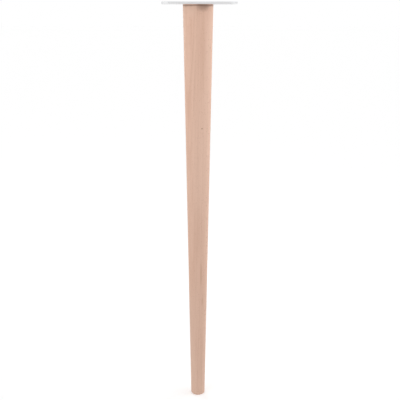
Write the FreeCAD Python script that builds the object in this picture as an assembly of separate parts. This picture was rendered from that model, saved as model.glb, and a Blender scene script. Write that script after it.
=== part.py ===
# Tapered wooden furniture leg with a square steel mounting plate, in millimetres.
# The origin is the centre of the plate's top face, which lies against the furniture.
# +Z points up into the furniture, and the leg reaches down from the plate to its foot.
import FreeCAD, Part
import math
import os

# Whole part
overall_height = 710.0  # top face of the plate to the floor

# Turned leg, one piece of beech
leg_top_diameter = 50.0
leg_foot_diameter = 25.0
leg_top_round = 0.8  # eased edge under the plate
leg_foot_round = 2.0  # rounded edge that meets the floor

# Pressed steel plate
plate_side = 120.0
plate_thickness = 3.5
plate_corner_radius = 15.0
plate_edge_round = 0.4
screw_hole_edge = 12.0  # hole centres from the plate's sides
screw_hole_diameter = 6.0
countersink_diameter = 10.0  # mouth of the countersink, on the leg's side
countersink_angle = 90.0

# Hexagon weld nut under the plate's centre, with a round pilot that centres it
thread_diameter = 10.0  # the metric thread is drawn as a plain cylinder
nut_across_flats = 17.0
nut_height = 10.0
nut_chamfer_angle = 30.0  # of the corners at the free end
nut_pilot_diameter = 12.5
nut_pilot_height = 1.2

# Hanger bolt: a machine thread in the nut, and a wood thread in the leg
bolt_end_recess = 0.8  # bolt's end below the plate's top face
bolt_end_chamfer = 1.2
wood_thread_diameter = 8.6  # half-way up the wood thread, drawn plain
wood_thread_length = 50.0
wood_point_length = 8.0

# Fits
thread_clearance = 0.05  # radial, in the nut and in the leg
nut_pilot_clearance = 0.05  # radial, in the plate
nut_pocket_clearance = 1.0  # beside and below the nut, in the leg
drill_extra_depth = 3.0  # of the leg's hole, past the bolt's point
drill_point_angle = 118.0

# Places in the plate
screw_hole_spacing = plate_side - 2 * screw_hole_edge  # between hole centres, both ways

# Levels along Z, from the plate's top face down
plate_bottom = -plate_thickness
foot_bottom = -overall_height
nut_bottom = plate_bottom - nut_height
pocket_floor = nut_bottom - nut_pocket_clearance
bolt_tip = pocket_floor - wood_thread_length


def revolved(profile):
    """Solid of revolution about Z from (radius, height) corners."""
    corners = [FreeCAD.Vector(radius, 0, height) for radius, height in profile]
    face = Part.Face(Part.makePolygon(corners + corners[:1]))
    return face.revolve(FreeCAD.Vector(0, 0, 0), FreeCAD.Vector(0, 0, 1), 360)


def edges_at(shape, height):
    """Edges of the shape that lie level at one height."""
    tolerance = 1e-6
    boxes = [(edge, edge.BoundBox) for edge in shape.Edges]
    return [
        edge
        for edge, box in boxes
        if abs(box.ZMin - height) < tolerance and abs(box.ZMax - height) < tolerance
    ]


def cone_height(wide_diameter, narrow_diameter, full_angle):
    """Height of a cone between two diameters, from its full angle in degrees."""
    return (wide_diameter - narrow_diameter) / 2 / math.tan(math.radians(full_angle / 2))


def tapered_leg():
    """Straight cone with eased ends, bored for the nut and the hanger bolt."""
    leg = Part.makeCone(
        leg_foot_diameter / 2,
        leg_top_diameter / 2,
        plate_bottom - foot_bottom,
        FreeCAD.Vector(0, 0, foot_bottom),
    )
    leg = leg.makeFillet(leg_foot_round, edges_at(leg, foot_bottom))
    leg = leg.makeFillet(leg_top_round, edges_at(leg, plate_bottom))

    across_corners = nut_across_flats / math.cos(math.radians(30))
    pocket_radius = across_corners / 2 + nut_pocket_clearance
    hole_diameter = wood_thread_diameter + 2 * thread_clearance
    hole_bottom = bolt_tip - drill_extra_depth
    drill_tip = hole_bottom - cone_height(hole_diameter, 0, drill_point_angle)
    bore = revolved(
        [
            (0, plate_bottom),
            (pocket_radius, plate_bottom),
            (pocket_radius, pocket_floor),
            (hole_diameter / 2, pocket_floor),
            (hole_diameter / 2, hole_bottom),
            (0, drill_tip),
        ]
    )
    return leg.cut(bore)


def mounting_plate():
    """Square plate with round corners, a hole for the nut and four countersunk screw holes."""
    plate = Part.makeBox(
        plate_side,
        plate_side,
        plate_thickness,
        FreeCAD.Vector(-plate_side / 2, -plate_side / 2, plate_bottom),
    )
    uprights = [edge for edge in plate.Edges if edge.BoundBox.ZLength > plate_thickness / 2]
    plate = plate.makeFillet(plate_corner_radius, uprights)
    rims = edges_at(plate, 0) + edges_at(plate, plate_bottom)
    plate = plate.makeFillet(plate_edge_round, rims)

    nut_hole_radius = nut_pilot_diameter / 2 + nut_pilot_clearance
    nut_hole = Part.makeCylinder(
        nut_hole_radius, plate_thickness, FreeCAD.Vector(0, 0, plate_bottom)
    )
    return plate.cut([nut_hole] + screw_holes())


def screw_holes():
    """Cutters for the plate's four corner holes, countersunk from the leg's side."""
    sink_depth = cone_height(countersink_diameter, screw_hole_diameter, countersink_angle)
    cutters = []
    for x_sign in (-1, 1):
        for y_sign in (-1, 1):
            foot = FreeCAD.Vector(
                x_sign * screw_hole_spacing / 2, y_sign * screw_hole_spacing / 2, plate_bottom
            )
            cutters.append(Part.makeCylinder(screw_hole_diameter / 2, plate_thickness, foot))
            cutters.append(
                Part.makeCone(countersink_diameter / 2, screw_hole_diameter / 2, sink_depth, foot)
            )
    return cutters


def weld_nut():
    """Hexagon nut against the plate's underside, its pilot in the plate's centre hole."""
    corner_radius = nut_across_flats / 2 / math.cos(math.radians(30))
    corners = [
        FreeCAD.Vector(
            corner_radius * math.cos(math.radians(60 * i)),
            corner_radius * math.sin(math.radians(60 * i)),
            nut_bottom,
        )
        for i in range(6)
    ]
    hexagon = Part.Face(Part.makePolygon(corners + corners[:1]))
    nut = hexagon.extrude(FreeCAD.Vector(0, 0, nut_height))

    flats_radius = nut_across_flats / 2
    chamfer_spread = nut_height / math.tan(math.radians(nut_chamfer_angle))
    chamfer = Part.makeCone(
        flats_radius,
        flats_radius + chamfer_spread,
        nut_height,
        FreeCAD.Vector(0, 0, nut_bottom),
    )
    nut = nut.common(chamfer)

    pilot = Part.makeCylinder(
        nut_pilot_diameter / 2, nut_pilot_height, FreeCAD.Vector(0, 0, plate_bottom)
    )
    bore = Part.makeCylinder(
        thread_diameter / 2 + thread_clearance,
        nut_height + nut_pilot_height,
        FreeCAD.Vector(0, 0, nut_bottom),
    )
    return nut.fuse(pilot).cut(bore).removeSplitter()


def hanger_bolt():
    """Double-ended bolt: its shoulder stands on the pocket's floor, its end is below the plate's top."""
    thread_radius = thread_diameter / 2
    wood_radius = wood_thread_diameter / 2
    return revolved(
        [
            (0, -bolt_end_recess),
            (thread_radius - bolt_end_chamfer, -bolt_end_recess),
            (thread_radius, -bolt_end_recess - bolt_end_chamfer),
            (thread_radius, pocket_floor),
            (wood_radius, pocket_floor),
            (wood_radius, bolt_tip + wood_point_length),
            (0, bolt_tip),
        ]
    )


os.makedirs("parts", exist_ok=True)
for make in (tapered_leg, mounting_plate, weld_nut, hanger_bolt):
    make().exportStep("parts/" + make.__name__ + ".step")
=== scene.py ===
# Looks of a tapered wooden furniture leg with a square steel mounting plate.
# Lengths are metres in the frame of the solids: the origin is the centre of the plate's top face, +Z up.
import math
import bmesh
import bpy
from mathutils import Euler, Matrix, Vector


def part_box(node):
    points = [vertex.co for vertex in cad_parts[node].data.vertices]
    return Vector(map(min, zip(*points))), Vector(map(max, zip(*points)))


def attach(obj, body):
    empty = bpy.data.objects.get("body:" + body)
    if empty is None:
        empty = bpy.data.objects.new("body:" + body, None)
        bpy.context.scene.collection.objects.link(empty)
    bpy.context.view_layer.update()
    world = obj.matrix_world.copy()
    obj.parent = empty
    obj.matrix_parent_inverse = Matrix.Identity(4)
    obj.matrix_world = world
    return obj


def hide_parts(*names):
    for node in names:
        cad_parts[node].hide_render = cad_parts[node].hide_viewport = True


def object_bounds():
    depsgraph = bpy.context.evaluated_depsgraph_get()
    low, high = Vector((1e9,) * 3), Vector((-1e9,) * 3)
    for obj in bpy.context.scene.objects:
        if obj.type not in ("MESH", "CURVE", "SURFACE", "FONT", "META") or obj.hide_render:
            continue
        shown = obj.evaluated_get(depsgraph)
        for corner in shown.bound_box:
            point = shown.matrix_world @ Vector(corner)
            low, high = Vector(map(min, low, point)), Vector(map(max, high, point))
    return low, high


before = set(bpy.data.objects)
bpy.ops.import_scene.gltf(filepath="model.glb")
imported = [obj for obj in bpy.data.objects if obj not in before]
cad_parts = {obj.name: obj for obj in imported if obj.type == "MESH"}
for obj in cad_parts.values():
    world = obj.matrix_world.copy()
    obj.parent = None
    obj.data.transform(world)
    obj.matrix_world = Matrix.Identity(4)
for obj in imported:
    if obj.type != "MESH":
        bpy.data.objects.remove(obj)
cad_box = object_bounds()
plate_low, plate_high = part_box("mounting_plate")
leg_low, leg_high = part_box("tapered_leg")
nut_low, nut_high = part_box("weld_nut")
bolt_low, bolt_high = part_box("hanger_bolt")

MM = 0.001
joined_within = 0.0001 * MM  # points of a mesh this close are one point
sharp_from = math.radians(35)  # edges that turn by more stay sharp

# Leg
leg_segments = 192
leg_rows = 48
leg_arc_steps = 10
leg_foot_rows = 4
leg_foot_radius = 12.5 * MM
leg_foot_round = 2.0 * MM
leg_top_round = 0.8 * MM
nut_pocket_clearance = 1.0 * MM
drill_extra_depth = 3.0 * MM  # of the hole, past the bolt's point
drill_half_angle = math.radians(59)

# Plate
plate_corner_radius = 15.0 * MM
plate_corner_steps = 24
plate_edge_round = 0.4 * MM
plate_edge_steps = 6
hole_segments = 96
hole_edge_round = 0.2 * MM
screw_hole_place = 48.0 * MM  # from the plate's middle, both ways
screw_hole_radius = 3.0 * MM
countersink_radius = 5.0 * MM
nut_hole_radius = 6.3 * MM

# Nut and bolt, with their threads cut as helices. A crest and a flank are half-widths in pitches.
thread_segments = 96
rows_per_pitch = 20
machine_pitch = 1.5 * MM
machine_thread_depth = 0.92 * MM
machine_crest = 0.0625
machine_flank = 0.375
machine_chamfer = 1.2 * MM
nut_thread_clearance = 0.05 * MM
nut_pilot_radius = 6.25 * MM
nut_chamfer_angle = math.radians(30)
wood_radius = 4.3 * MM
wood_clearance = 0.05 * MM
wood_pitch = 4.0 * MM
wood_thread_depth = 1.1 * MM
wood_crest = 0.03
wood_flank = 0.24
wood_point = 8.0 * MM

# Camera
camera_distance = 1.2  # level, from the leg's axis
camera_height = -12.0 * MM  # just under the plate
camera_azimuth = math.radians(-3.0)
camera_pitch = math.radians(15.048)  # downwards
camera_roll = math.radians(0.073)
camera_side = 3.52 * MM  # to the right of the leg's axis
camera_lens = 63.75  # in mm, as is the sensor
camera_sensor = 36.0

# Sizes that the pieces share
pocket_floor = nut_low.z - nut_pocket_clearance
wood_hole_radius = wood_radius + wood_clearance


def shaded(mesh):
    """Smooth shading that keeps sharp edges."""
    mesh.polygons.foreach_set("use_smooth", [True] * len(mesh.polygons))
    mesh.set_sharp_from_angle(angle=sharp_from)
    return mesh


def piece(name, mesh, node, material):
    """Adds an object that rides on the part and stands for one of its solids."""
    made = bpy.data.objects.new(name, shaded(mesh))
    bpy.context.scene.collection.objects.link(made)
    made.data.materials.append(material)
    flat_faces_first = made.modifiers.new("flat_faces_first", "WEIGHTED_NORMAL")
    flat_faces_first.keep_sharp = True
    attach(made, "root")
    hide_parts(node)


def rounded(before, corner, after, radius, steps):
    """Points of the arc that rounds a corner of a profile."""
    before, corner, after = Vector(before), Vector(corner), Vector(after)
    back = (before - corner).normalized()
    ahead = (after - corner).normalized()
    half_angle = back.angle(ahead) / 2
    tangent = radius / math.tan(half_angle)
    centre = corner + (back + ahead).normalized() * radius / math.sin(half_angle)
    start = corner + back * tangent - centre
    end = corner + ahead * tangent - centre
    return [
        tuple(centre + start.lerp(end, step / steps).normalized() * radius)
        for step in range(steps + 1)
    ]


def straight(start, end, steps):
    """Points along a straight stretch of a profile, without its ends."""
    return [tuple(Vector(start).lerp(Vector(end), step / steps)) for step in range(1, steps)]


def turned(name, rings, segments, closed=False):
    """Mesh of rings round Z. A ring is (radius, height), or a function of the angle that gives them."""
    shape = bmesh.new()
    loops = []
    for ring in rings:
        loop = []
        for step in range(segments):
            angle = 2 * math.pi * step / segments
            radius, height = ring(angle) if callable(ring) else ring
            place = (radius * math.cos(angle), radius * math.sin(angle), height)
            if radius > 0 or not loop:
                loop.append(shape.verts.new(place))
        loops.append(loop)
    if closed:
        loops.append(loops[0])
    for low, high in zip(loops, loops[1:]):
        for step in range(segments):
            near, far = step, (step + 1) % segments
            corners = [low[near % len(low)], low[far % len(low)]]
            corners += [high[far % len(high)], high[near % len(high)]]
            shape.faces.new(list(dict.fromkeys(corners)))
    return mesh_from(name, shape)


def mesh_from(name, shape):
    """Mesh with its faces turned outwards, and points that coincide joined."""
    bmesh.ops.remove_doubles(shape, verts=shape.verts, dist=joined_within)
    bmesh.ops.recalc_face_normals(shape, faces=shape.faces)
    mesh = bpy.data.meshes.new(name)
    shape.to_mesh(mesh)
    shape.free()
    return mesh


def leg_mesh():
    """Straight cone with eased ends, bored for the nut and the bolt."""
    foot_centre = (0.0, leg_low.z)
    foot_corner = (leg_foot_radius, leg_low.z)
    top_corner = (leg_high.x, leg_high.z)
    pocket_mouth = (nut_high.x + nut_pocket_clearance, leg_high.z)
    foot_arc = rounded(foot_centre, foot_corner, top_corner, leg_foot_round, leg_arc_steps)
    top_arc = rounded(foot_corner, top_corner, pocket_mouth, leg_top_round, leg_arc_steps)
    hole_end = bolt_low.z - drill_extra_depth
    drill_tip = hole_end - wood_hole_radius / math.tan(drill_half_angle)
    rings = [foot_centre, *straight(foot_centre, foot_arc[0], leg_foot_rows), *foot_arc]
    rings += [*straight(foot_arc[-1], top_arc[0], leg_rows), *top_arc]
    rings += [pocket_mouth, (pocket_mouth[0], pocket_floor)]
    rings += [(wood_hole_radius, pocket_floor), (wood_hole_radius, hole_end), (0.0, drill_tip)]
    return turned("leg", rings, leg_segments)


def plate_outline(inset):
    """Points round the square plate with round corners, moved in from its edge."""
    reach = plate_high.x - plate_corner_radius
    radius = plate_corner_radius - inset
    points = []
    for x_sign, y_sign, first in ((1, 1, 0), (-1, 1, 90), (-1, -1, 180), (1, -1, 270)):
        for step in range(plate_corner_steps + 1):
            angle = math.radians(first + 90 * step / plate_corner_steps)
            x = x_sign * reach + radius * math.cos(angle)
            y = y_sign * reach + radius * math.sin(angle)
            points.append((x, y))
    return points


def plate_blank():
    """Plate with round corners and rounded edges, before its holes."""
    shape = bmesh.new()
    loops = []
    for level, side in ((plate_low.z, 1), (plate_high.z, -1)):
        steps = range(plate_edge_steps + 1)
        for step in steps if side == 1 else reversed(steps):
            angle = math.pi / 2 * step / plate_edge_steps
            inset = plate_edge_round * (1 - math.sin(angle))
            height = level + side * plate_edge_round * (1 - math.cos(angle))
            loops.append([shape.verts.new((x, y, height)) for x, y in plate_outline(inset)])
    for low, high in zip(loops, loops[1:]):
        for step in range(len(low)):
            after = (step + 1) % len(low)
            shape.faces.new((low[step], low[after], high[after], high[step]))
    shape.faces.new(loops[0])
    shape.faces.new(loops[-1])
    return mesh_from("plate", shape)


def hole_cutter(mouth_radius, radius):
    """Solid that cuts a hole through the plate, with an eased upper edge and any countersink below."""
    past = hole_edge_round * 2
    top, bottom = plate_high.z, plate_low.z
    sink_top = (radius, bottom + mouth_radius - radius)  # of a 90 degree countersink
    top_arc = rounded(sink_top, (radius, top), (radius + past, top), hole_edge_round, plate_edge_steps)
    rings = [(0.0, bottom - past), (mouth_radius, bottom - past)]
    if mouth_radius > radius:
        rings += [(mouth_radius, bottom), sink_top]
    rings += [*top_arc, (top_arc[-1][0], top + past), (0.0, top + past)]
    return turned("cutter", rings, hole_segments)


def plate_mesh():
    """Plate with its four countersunk screw holes and the hole for the nut's pilot."""
    blank = bpy.data.objects.new("plate_blank", plate_blank())
    bpy.context.scene.collection.objects.link(blank)
    cutters = []
    places = [(x * screw_hole_place, y * screw_hole_place) for x in (-1, 1) for y in (-1, 1)]
    screw_cutter = hole_cutter(countersink_radius, screw_hole_radius)
    nut_cutter = hole_cutter(nut_hole_radius, nut_hole_radius)
    for mesh, (x, y) in [(screw_cutter, place) for place in places] + [(nut_cutter, (0.0, 0.0))]:
        cutter = bpy.data.objects.new("cutter", mesh)
        cutter.location = (x, y, 0.0)
        bpy.context.scene.collection.objects.link(cutter)
        cutters.append(cutter)
        cut = blank.modifiers.new("cut", "BOOLEAN")
        cut.operation = "DIFFERENCE"
        cut.solver = "EXACT"
        cut.object = cutter
    bpy.context.view_layer.update()
    evaluated = blank.evaluated_get(bpy.context.evaluated_depsgraph_get())
    mesh = bpy.data.meshes.new_from_object(evaluated)
    for used in [blank, *cutters]:
        bpy.data.objects.remove(used)
    return mesh


def ridge(turns, crest, flank):
    """Height of a thread, 0 to 1, at a number of turns along it: a flat crest, then straight flanks."""
    from_crest = abs((turns + 0.5) % 1.0 - 0.5)
    return min(1.0, max(0.0, (flank - from_crest) / (flank - crest)))


def machine_thread(angle, height):
    """Radius of the metric thread."""
    turns = height / machine_pitch - angle / (2 * math.pi)
    return bolt_high.x - machine_thread_depth * (1 - ridge(turns, machine_crest, machine_flank))


def wood_thread(angle, height):
    """Radius of the sharp, wide-spaced wood thread."""
    turns = height / wood_pitch - angle / (2 * math.pi)
    return wood_radius - wood_thread_depth * (1 - ridge(turns, wood_crest, wood_flank))


def levels(start, end, pitch):
    """Heights from one level to another, close enough together for a thread."""
    steps = math.ceil(abs(end - start) / pitch * rows_per_pitch)
    return [start + (end - start) * step / steps for step in range(steps + 1)]


def bolt_mesh():
    """Hanger bolt: a chamfered machine thread above its shoulder and a pointed wood thread below."""
    end = bolt_high.z

    def machine_ring(height):
        chamfer = bolt_high.x - machine_chamfer + (end - height)
        run_out = bolt_high.x - (height - pocket_floor)
        return lambda angle: (min(chamfer, max(run_out, machine_thread(angle, height))), height)

    def wood_ring(height):
        point = min(1.0, (height - bolt_low.z) / wood_point)
        run_out = wood_radius - (pocket_floor - height)
        return lambda angle: (point * max(run_out, wood_thread(angle, height)), height)

    rings = [(0.0, end)]
    rings += [machine_ring(height) for height in levels(end, pocket_floor, machine_pitch)]
    rings += [wood_ring(height) for height in levels(pocket_floor, bolt_low.z, wood_pitch)[:-1]]
    rings += [(0.0, bolt_low.z)]
    return turned("bolt", rings, thread_segments)


def nut_mesh():
    """Hexagon weld nut with chamfered corners, a round pilot and a thread that takes the bolt."""
    flat_radius = nut_high.y
    side_angle = math.radians(60)

    def hexagon(angle):
        return flat_radius / math.cos((angle % side_angle) - side_angle / 2)

    def chamfer_ring(angle):
        radius = hexagon(angle)
        return radius, nut_low.z + (radius - flat_radius) * math.tan(nut_chamfer_angle)

    def thread_ring(height):
        mouth = max(nut_high.z - height, 0.0), max(height - nut_low.z, 0.0)
        lead_in = bolt_high.x + nut_thread_clearance - min(mouth)
        return lambda angle: (max(lead_in, machine_thread(angle, height) + nut_thread_clearance), height)

    rings = [(flat_radius, nut_low.z), chamfer_ring, lambda angle: (hexagon(angle), plate_low.z)]
    rings += [(nut_pilot_radius, plate_low.z), (nut_pilot_radius, nut_high.z)]
    rings += [thread_ring(height) for height in levels(nut_high.z, nut_low.z, machine_pitch)]
    return turned("nut", rings, thread_segments, closed=True)


class Nodes:
    """Adds nodes to one tree. An input is a value or another node's output."""

    def __init__(self, owner):
        owner.use_nodes = True
        self.tree = owner.node_tree
        self.tree.nodes.clear()

    def add(self, kind, inputs, output=0, **settings):
        """New node of a kind. Gives one of its outputs, if it has any."""
        node = self.tree.nodes.new("ShaderNode" + kind)
        for key, value in settings.items():
            setattr(node, key, value)
        for key, value in inputs.items():
            if isinstance(value, bpy.types.NodeSocket):
                self.tree.links.new(value, node.inputs[key])
            else:
                node.inputs[key].default_value = value
        return node.outputs[output] if len(node.outputs) else None

    def maths(self, operation, *values):
        return self.add("Math", dict(enumerate(values)), operation=operation)

    def vector(self, operation, *values, output=0):
        return self.add("VectorMath", dict(enumerate(values)), output, operation=operation)

    def axes(self, vector):
        """X, Y and Z of a vector."""
        return [self.add("SeparateXYZ", {0: vector}, axis) for axis in range(3)]

    def noise(self, place, grain, detail=2.0, roughness=0.5):
        """Noise from 0 to 1, with its own grain, which is its repeats in a metre along X, Y and Z."""
        stretched = self.vector("MULTIPLY", place, grain)
        inputs = {"Vector": stretched, "Scale": 1.0, "Detail": detail, "Roughness": roughness}
        return self.add("TexNoise", inputs, "Fac")

    def fade(self, value, start, end, low=0.0, high=1.0):
        """Smooth change from low to high as a value goes from start to end."""
        inputs = {"Value": value, "From Min": start, "From Max": end, "To Min": low, "To Max": high}
        return self.add("MapRange", inputs, interpolation_type="SMOOTHSTEP")

    def mix(self, share, first, second):
        """Colour between two. The node's sockets share their names, so their numbers tell them apart."""
        return self.add("Mix", {0: share, 6: first, 7: second}, 2, data_type="RGBA")


def screen(red, green, blue):
    """Linear colour from a screen's red, green and blue, 0 to 255, by the sRGB curve."""
    def linear(level):
        share = level / 255
        return share / 12.92 if share <= 0.04045 else ((share + 0.055) / 1.055) ** 2.4
    return (linear(red), linear(green), linear(blue), 1.0)


# Noise. A span is where in the noise, which is 0 to 1, a pattern fades in.
middle_span = (0.3, 0.7)

# Beech. Growth rings lie round the tree's pith, outside the leg, and rays run out from it.
beech_pale = screen(224, 189, 169)
beech_pink = screen(219, 181, 160)
beech_dark = screen(184, 139, 114)
beech_ray = screen(170, 124, 98)
beech_knot = screen(140, 98, 78)
# colour of the painted shadow under the plate
beech_painted_shadow = screen(104, 78, 66)
beech_pith = (62.0 * MM, 52.0 * MM, 0.0)
beech_lean = (0.012, -0.006)  # sideways run of the grain for each metre up the leg
beech_patch_grain = (30.0, 30.0, 3.5)
beech_streak_grain = (260.0, 260.0, 5.0)
beech_streak_span = (0.35, 0.8)
beech_fibre_grain = (2600.0, 2600.0, 70.0)
beech_fibre_span = (0.45, 0.85)

# Growth rings
ring_width = 2.4 * MM
ring_wander = 5.0 * MM
ring_wander_grain = (28.0, 28.0, 3.0)
ring_late_wood = (0.35, 0.95)  # of a ring's width, where its late wood starts and is darkest
ring_weakest = 0.25  # late wood of the faintest ring, as a share of the strongest one's

# Rays, which show as short flecks
ray_width = 0.75 * MM
ray_height = 5.0 * MM
ray_depth = 25.0 * MM
ray_edge = (0.30, 0.18)  # from a ray's middle, as a share of its size, where it fades in
ray_chance_span = (0.25, 0.9)

# How far each pattern darkens the wood
streak_share = 0.16
late_wood_share = 0.18
fibre_share = 0.22
ray_share = 0.35
end_grain_share = 0.35
end_grain_slope = (0.6, 0.95)  # upright share of the surface's normal, where end grain fades in

# Marks, each a place in mm, a half-size in mm, a strength and a colour: knots and streaks in the wood, and
# patches, some of them painted shade and painted light
mark_core = 0.2  # of a mark's half-size, where it has its full strength
beech_marks_and_painted_shading = (
    ((5.7, -20.7, -205.3), (1.9, 1.9, 1.6), 0.75, beech_knot),
    ((14.8, -15.5, -205.7), (1.4, 1.4, 1.2), 0.35, beech_knot),
    ((4.7, -16.2, -468.0), (2.3, 3.0, 34.0), 0.42, beech_dark),
    ((7.2, -14.2, -520.0), (1.8, 3.0, 12.0), 0.35, beech_dark),
    # painted shadow under the plate, deepest right of the middle
    ((7.0, -23.0, -6.5), (16.0, 12.0, 11.0), 0.44, beech_painted_shadow),
    ((12.0, -20.5, -6.2), (16.0, 14.0, 2.6), 0.28, beech_painted_shadow),
    # partly lighter wood, partly painted light that lifts the plate's shade at the left
    ((-11.0, -21.5, -13.0), (10.0, 12.0, 18.0), 0.60, beech_pale),
    # painted shade: the leg's darker side between its lamps, right of the middle
    ((7.5, -23.0, -75.0), (6.0, 8.0, 90.0), 0.14, beech_dark),
    ((1.0, -18.0, -385.0), (16.0, 12.0, 75.0), 0.12, beech_dark),
)

# Painted shadow: a dark band on the wood just under the plate, where the plate's shade falls
painted_shadow_reach = (3.2 * MM, 4.2 * MM)  # least and most
painted_shadow_reach_grain = (60.0, 60.0, 60.0)
painted_shadow_core = 0.6  # of its reach, where it is darkest
painted_shadow_share = 0.62
painted_shadow_start = (leg_top_round, leg_top_round * 2.5)  # below the leg's top, where it fades in

# Surface of the wood
beech_bump = 0.12
beech_relief = 0.15 * MM
beech_ray_relief = -0.5  # as much as the fibres' relief
beech_roughness_span = (0.2, 0.8)
beech_roughness = (0.50, 0.62)
beech_specular = 0.35


def growth_rings(nodes, place, from_pith):
    """Distance from the pith, and the late wood of the ring there."""
    wander = nodes.noise(place, ring_wander_grain)
    distance = nodes.vector("LENGTH", from_pith, output="Value")
    distance = nodes.maths("MULTIPLY_ADD", wander, ring_wander, distance)
    ring = nodes.maths("DIVIDE", distance, ring_width)
    across_ring = nodes.maths("FRACT", ring)
    starts, darkest = ring_late_wood
    late_wood = nodes.fade(across_ring, starts, darkest)
    late_wood = nodes.maths("MULTIPLY", late_wood, nodes.fade(across_ring, 1.0, darkest))
    ring_number = nodes.maths("FLOOR", ring)
    strength = nodes.add("TexWhiteNoise", {"W": ring_number}, "Value", noise_dimensions="1D")
    strength = nodes.fade(strength, 0.0, 1.0, ring_weakest, 1.0)
    return distance, nodes.maths("MULTIPLY", late_wood, strength)


def wood_rays(nodes, from_pith, distance, height):
    """1 in a ray and 0 between rays."""
    out_x, out_y, _ = nodes.axes(from_pith)
    angle = nodes.maths("ARCTAN2", out_y, out_x)
    pith_distance = math.hypot(beech_pith[0], beech_pith[1])
    around = nodes.maths("MULTIPLY", angle, pith_distance / ray_width)
    up = nodes.maths("DIVIDE", height, ray_height)
    out = nodes.maths("DIVIDE", distance, ray_depth)
    ray_place = nodes.add("CombineXYZ", {0: around, 1: up, 2: out})
    ray_cell = {"Vector": ray_place, "Scale": 1.0, "Randomness": 1.0}
    from_middle = nodes.add("TexVoronoi", ray_cell, "Distance")
    chance = nodes.axes(nodes.add("TexVoronoi", ray_cell, "Color"))[0]
    return nodes.maths("MULTIPLY", nodes.fade(from_middle, *ray_edge), nodes.fade(chance, *ray_chance_span))


def with_marks_and_painted_shading(nodes, wood, place):
    """Wood with its knots, streaks and patches; some patches are painted shade and painted light."""
    for mark_place, half_size, strength, colour in beech_marks_and_painted_shading:
        offset = nodes.vector("SUBTRACT", place, [along * MM for along in mark_place])
        offset = nodes.vector("DIVIDE", offset, [along * MM for along in half_size])
        gap = nodes.vector("LENGTH", offset, output="Value")
        wood = nodes.mix(nodes.fade(gap, 1.0, mark_core, 0.0, strength), wood, colour)
    return wood


def with_painted_shadow_under_plate(nodes, wood, place, height):
    """Wood with a painted shadow in a band just under the plate."""
    below_top = nodes.maths("SUBTRACT", leg_high.z, height)
    reach = nodes.fade(nodes.noise(place, painted_shadow_reach_grain), *middle_span, *painted_shadow_reach)
    painted_shadow = nodes.fade(below_top, reach, nodes.maths("MULTIPLY", reach, painted_shadow_core), 0.0, painted_shadow_share)
    painted_shadow = nodes.maths("MULTIPLY", painted_shadow, nodes.fade(below_top, *painted_shadow_start))
    return nodes.mix(painted_shadow, wood, beech_painted_shadow)


def beech():
    """Fine-sanded turned beech under a thin matt coat."""
    material = bpy.data.materials.new("beech")
    nodes = Nodes(material)
    place = nodes.add("TexCoord", {}, "Object")
    height = nodes.axes(place)[2]
    level = nodes.maths("ABSOLUTE", nodes.axes(nodes.add("NewGeometry", {}, "Normal"))[2])
    end_grain = nodes.fade(level, *end_grain_slope)

    # The pith leans, and a place is measured from it on its own level
    heights = nodes.add("CombineXYZ", {0: height, 1: height, 2: height})
    lean = (-beech_lean[0], -beech_lean[1], -1.0)
    from_pith = nodes.vector("MULTIPLY_ADD", heights, lean, nodes.vector("SUBTRACT", place, beech_pith))
    distance, late_wood = growth_rings(nodes, place, from_pith)
    ray = wood_rays(nodes, from_pith, distance, height)
    patch = nodes.noise(place, beech_patch_grain)
    streak = nodes.noise(place, beech_streak_grain, detail=3.0, roughness=0.6)
    fibre = nodes.noise(place, beech_fibre_grain, detail=3.0, roughness=0.6)

    wood = nodes.mix(nodes.fade(patch, *middle_span), beech_pale, beech_pink)
    wood = nodes.mix(nodes.fade(streak, *beech_streak_span, 0.0, streak_share), wood, beech_dark)
    wood = nodes.mix(nodes.maths("MULTIPLY", late_wood, late_wood_share), wood, beech_dark)
    wood = nodes.mix(nodes.fade(fibre, *beech_fibre_span, 0.0, fibre_share), wood, beech_dark)
    wood = nodes.mix(nodes.maths("MULTIPLY", ray, ray_share), wood, beech_ray)
    # Painted shade and painted light come in with the marks, then the painted shadow under the plate
    wood = with_painted_shadow_under_plate(nodes, with_marks_and_painted_shading(nodes, wood, place), place, height)
    wood = nodes.mix(nodes.maths("MULTIPLY", end_grain, end_grain_share), wood, beech_dark)

    relief = nodes.maths("MULTIPLY_ADD", ray, beech_ray_relief, fibre)
    bump = nodes.add("Bump", {"Strength": beech_bump, "Distance": beech_relief, "Height": relief})
    roughness = nodes.fade(fibre, *beech_roughness_span, *beech_roughness)
    inputs = {"Base Color": wood, "Roughness": roughness, "Normal": bump}
    inputs["Specular IOR Level"] = beech_specular
    shader = nodes.add("BsdfPrincipled", inputs)
    nodes.add("OutputMaterial", {"Surface": shader})
    return material


# Zinc plating
zinc_light = screen(234, 234, 234)
zinc_dark = screen(204, 205, 207)
zinc_scratch = screen(242, 242, 243)
plate_grain = (12.0, 1500.0, 1500.0)  # lines along X, as the sheet was rolled
fixing_grain = (1200.0, 1200.0, 1200.0)
zinc_broad_lines = 0.1  # as many to the metre as fine lines
zinc_cloud_grain = (26.0, 26.0, 26.0)
zinc_speck_grain = (900.0, 900.0, 900.0)
zinc_scratch_grain = (9.0, 700.0, 700.0)
zinc_scratch_turns = (math.radians(24), math.radians(-52))
zinc_scratch_span = (0.76, 0.86)
zinc_scratch_share = 0.5
# Shares of fine lines, broad lines and clouds in the shade of the metal
zinc_line_share = 0.40
zinc_broad_share = 0.40
zinc_cloud_share = 0.20
zinc_shade_span = (0.36, 0.64)
zinc_roughness = (0.28, 0.44)
zinc_bump = 0.10
zinc_relief = 0.05 * MM
zinc_speck_relief = 0.4  # as much as the lines' relief


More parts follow.
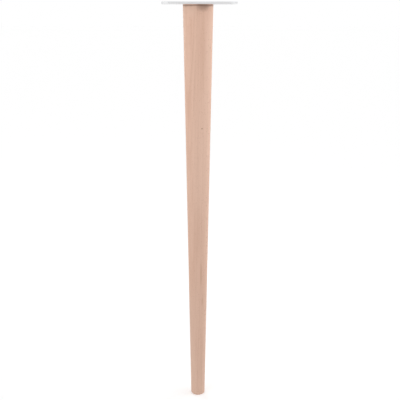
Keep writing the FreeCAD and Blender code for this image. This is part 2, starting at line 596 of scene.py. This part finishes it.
def zinc(name, grain):
    """Satin zinc plating on steel, with fine and broad lines, faint clouds and a few scratches."""
    material = bpy.data.materials.new(name)
    nodes = Nodes(material)
    place = nodes.add("TexCoord", {}, "Object")
    lines = nodes.noise(place, grain, detail=4.0, roughness=0.6)
    broad_grain = [along * zinc_broad_lines for along in grain]
    broad_lines = nodes.noise(place, broad_grain, detail=3.0, roughness=0.6)
    cloud = nodes.noise(place, zinc_cloud_grain, detail=4.0, roughness=0.6)
    speck = nodes.noise(place, zinc_speck_grain)
    scratch = 0.0
    for turn in zinc_scratch_turns:
        across = nodes.add("VectorRotate", {"Vector": place, "Angle": turn}, rotation_type="Z_AXIS")
        line = nodes.noise(across, zinc_scratch_grain, detail=0.0)
        scratch = nodes.maths("MAXIMUM", scratch, nodes.fade(line, *zinc_scratch_span))
    shade = nodes.maths("MULTIPLY", broad_lines, zinc_broad_share)
    shade = nodes.maths("MULTIPLY_ADD", lines, zinc_line_share, shade)
    shade = nodes.maths("MULTIPLY_ADD", cloud, zinc_cloud_share, shade)
    metal = nodes.mix(nodes.fade(shade, *zinc_shade_span), zinc_dark, zinc_light)
    metal = nodes.mix(nodes.maths("MULTIPLY", scratch, zinc_scratch_share), metal, zinc_scratch)
    roughness = nodes.fade(shade, *middle_span, *zinc_roughness)
    relief = nodes.maths("SUBTRACT", lines, scratch)
    relief = nodes.maths("MULTIPLY_ADD", speck, zinc_speck_relief, relief)
    bump = nodes.add("Bump", {"Strength": zinc_bump, "Distance": zinc_relief, "Height": relief})
    inputs = {"Base Color": metal, "Metallic": 1.0, "Roughness": roughness, "Normal": bump}
    shader = nodes.add("BsdfPrincipled", inputs)
    nodes.add("OutputMaterial", {"Surface": shader})
    return material


# Studio
white = (1.0, 1.0, 1.0, 1.0)
horizon_strength = 1.10  # light of the white surroundings on the object, level with it
zenith_strength = 0.24  # and from straight above
ceiling_from = 0.55  # upward share of a direction, from which the ceiling is seen darker
ceiling_seen = 0.70  # of white, straight above, where metal mirrors it
floor_size = 60.0
floor_colour = (0.86, 0.86, 0.86, 1.0)
floor_glow = (0.32, 0.57)  # what is seen of the floor's own white under the lamps, and far from them
floor_lit_reach = (0.35, 0.75)  # from the foot, where the lamps' light on the floor fades
floor_gap = 0.1 * MM  # under the foot
floor_lets_light_through = 0.3 * MM  # near enough to light the foot's face from below
lamp_distance = 0.65  # from the leg's axis
lamp_level = -80.0 * MM
lamp_height = 0.45
# Soft lamps round the leg, each a name, an angle from the front to the right, a width, watts,
# and whether metal mirrors it
lamps = (
    ("left", math.radians(-50), 0.7, 1.60, False),
    ("right", math.radians(90), 1.0, 2.80, False),
    ("back", math.radians(205), 0.7, 1.70, False),
    ("left_glint", math.radians(-75), 1.0, 0.35, True),
    ("right_glint", math.radians(75), 1.0, 0.35, True),
)


def seen_rays(nodes):
    """1 for rays that show a surface to the camera, straight or through a reflection."""
    straight_ray = nodes.add("LightPath", {}, "Is Camera Ray")
    mirrored_ray = nodes.add("LightPath", {}, "Is Glossy Ray")
    passing_ray = nodes.add("LightPath", {}, "Is Transmission Ray")
    return nodes.maths("MAXIMUM", straight_ray, nodes.maths("MAXIMUM", mirrored_ray, passing_ray))


def surroundings():
    """White all round, as seen, with softer light on the object from above than from its sides."""
    world = bpy.data.worlds.new("studio")
    bpy.context.scene.world = world
    nodes = Nodes(world)
    upward = nodes.axes(nodes.add("TexCoord", {}, "Generated"))[2]
    ambient = nodes.fade(upward, 0.0, 1.0, horizon_strength, zenith_strength)
    seen = nodes.fade(upward, ceiling_from, 1.0, 1.0, ceiling_seen)
    strength = nodes.fade(seen_rays(nodes), 0.0, 1.0, ambient, seen)
    sky = nodes.add("Background", {"Color": white, "Strength": strength})
    nodes.add("OutputWorld", {"Surface": sky})


def floor_material():
    """Matt floor that is seen as white, and is open from below and close under the foot."""
    material = bpy.data.materials.new("floor")
    nodes = Nodes(material)
    matt = nodes.add("BsdfDiffuse", {"Color": floor_colour})
    from_middle = nodes.vector("LENGTH", nodes.add("TexCoord", {}, "Object"), output="Value")
    own_white = nodes.fade(from_middle, *floor_lit_reach, *floor_glow)
    glow = nodes.add("Emission", {"Color": white, "Strength": own_white})
    bright = nodes.add("AddShader", {0: matt, 1: glow})
    lit = nodes.add("MixShader", {0: seen_rays(nodes), 1: matt, 2: bright})
    from_below = nodes.add("NewGeometry", {}, "Backfacing")
    ray_length = nodes.add("LightPath", {}, "Ray Length")
    from_foot = nodes.maths("LESS_THAN", ray_length, floor_lets_light_through)
    open_below = nodes.maths("MAXIMUM", from_below, from_foot)
    shader = nodes.add("MixShader", {0: open_below, 1: lit, 2: nodes.add("BsdfTransparent", {})})
    nodes.add("OutputMaterial", {"Surface": shader})
    return material


def floor():
    """Pale floor just under the foot."""
    mesh = bpy.data.meshes.new("floor")
    half = floor_size / 2
    corners = [(-half, -half, 0), (half, -half, 0), (half, half, 0), (-half, half, 0)]
    mesh.from_pydata(corners, [], [(0, 1, 2, 3)])
    made = bpy.data.objects.new("floor", mesh)
    made.location.z = cad_box[0].z - floor_gap
    made.data.materials.append(floor_material())
    bpy.context.scene.collection.objects.link(made)


def lamp(name, angle, width, watts, in_metal):
    """Soft upright lamp that faces the leg's axis."""
    light = bpy.data.lights.new(name, "AREA")
    light.shape = "RECTANGLE"
    light.size = width
    light.size_y = lamp_height
    light.energy = watts
    made = bpy.data.objects.new(name, light)
    made.location = (lamp_distance * math.sin(angle), -lamp_distance * math.cos(angle), lamp_level)
    made.rotation_euler = (math.pi / 2, 0.0, angle)
    made.visible_camera = False
    made.visible_glossy = in_metal
    bpy.context.scene.collection.objects.link(made)


def camera():
    """Camera level with the plate, looking down the leg."""
    data = bpy.data.cameras.new("camera")
    data.sensor_width = camera_sensor
    data.lens = camera_lens
    made = bpy.data.objects.new("camera", data)
    back = Vector((math.sin(camera_azimuth), -math.cos(camera_azimuth), 0.0))
    right = Vector((math.cos(camera_azimuth), math.sin(camera_azimuth), 0.0))
    made.location = back * camera_distance + right * camera_side
    made.location.z = camera_height
    level = Euler((math.pi / 2 - camera_pitch, 0.0, camera_azimuth)).to_matrix()
    made.rotation_euler = (level @ Matrix.Rotation(camera_roll, 3, "Z")).to_euler()
    bpy.context.scene.collection.objects.link(made)
    bpy.context.scene.camera = made


zinc_of_plate = zinc("plate_zinc", plate_grain)
zinc_of_fixing = zinc("fixing_zinc", fixing_grain)
piece("turned_leg", leg_mesh(), "tapered_leg", beech())
piece("steel_plate", plate_mesh(), "mounting_plate", zinc_of_plate)
piece("hexagon_nut", nut_mesh(), "weld_nut", zinc_of_fixing)
piece("threaded_bolt", bolt_mesh(), "hanger_bolt", zinc_of_fixing)
surroundings()
floor()
for each in lamps:
    lamp(*each)
camera()
bpy.context.scene.view_settings.view_transform = "Standard"
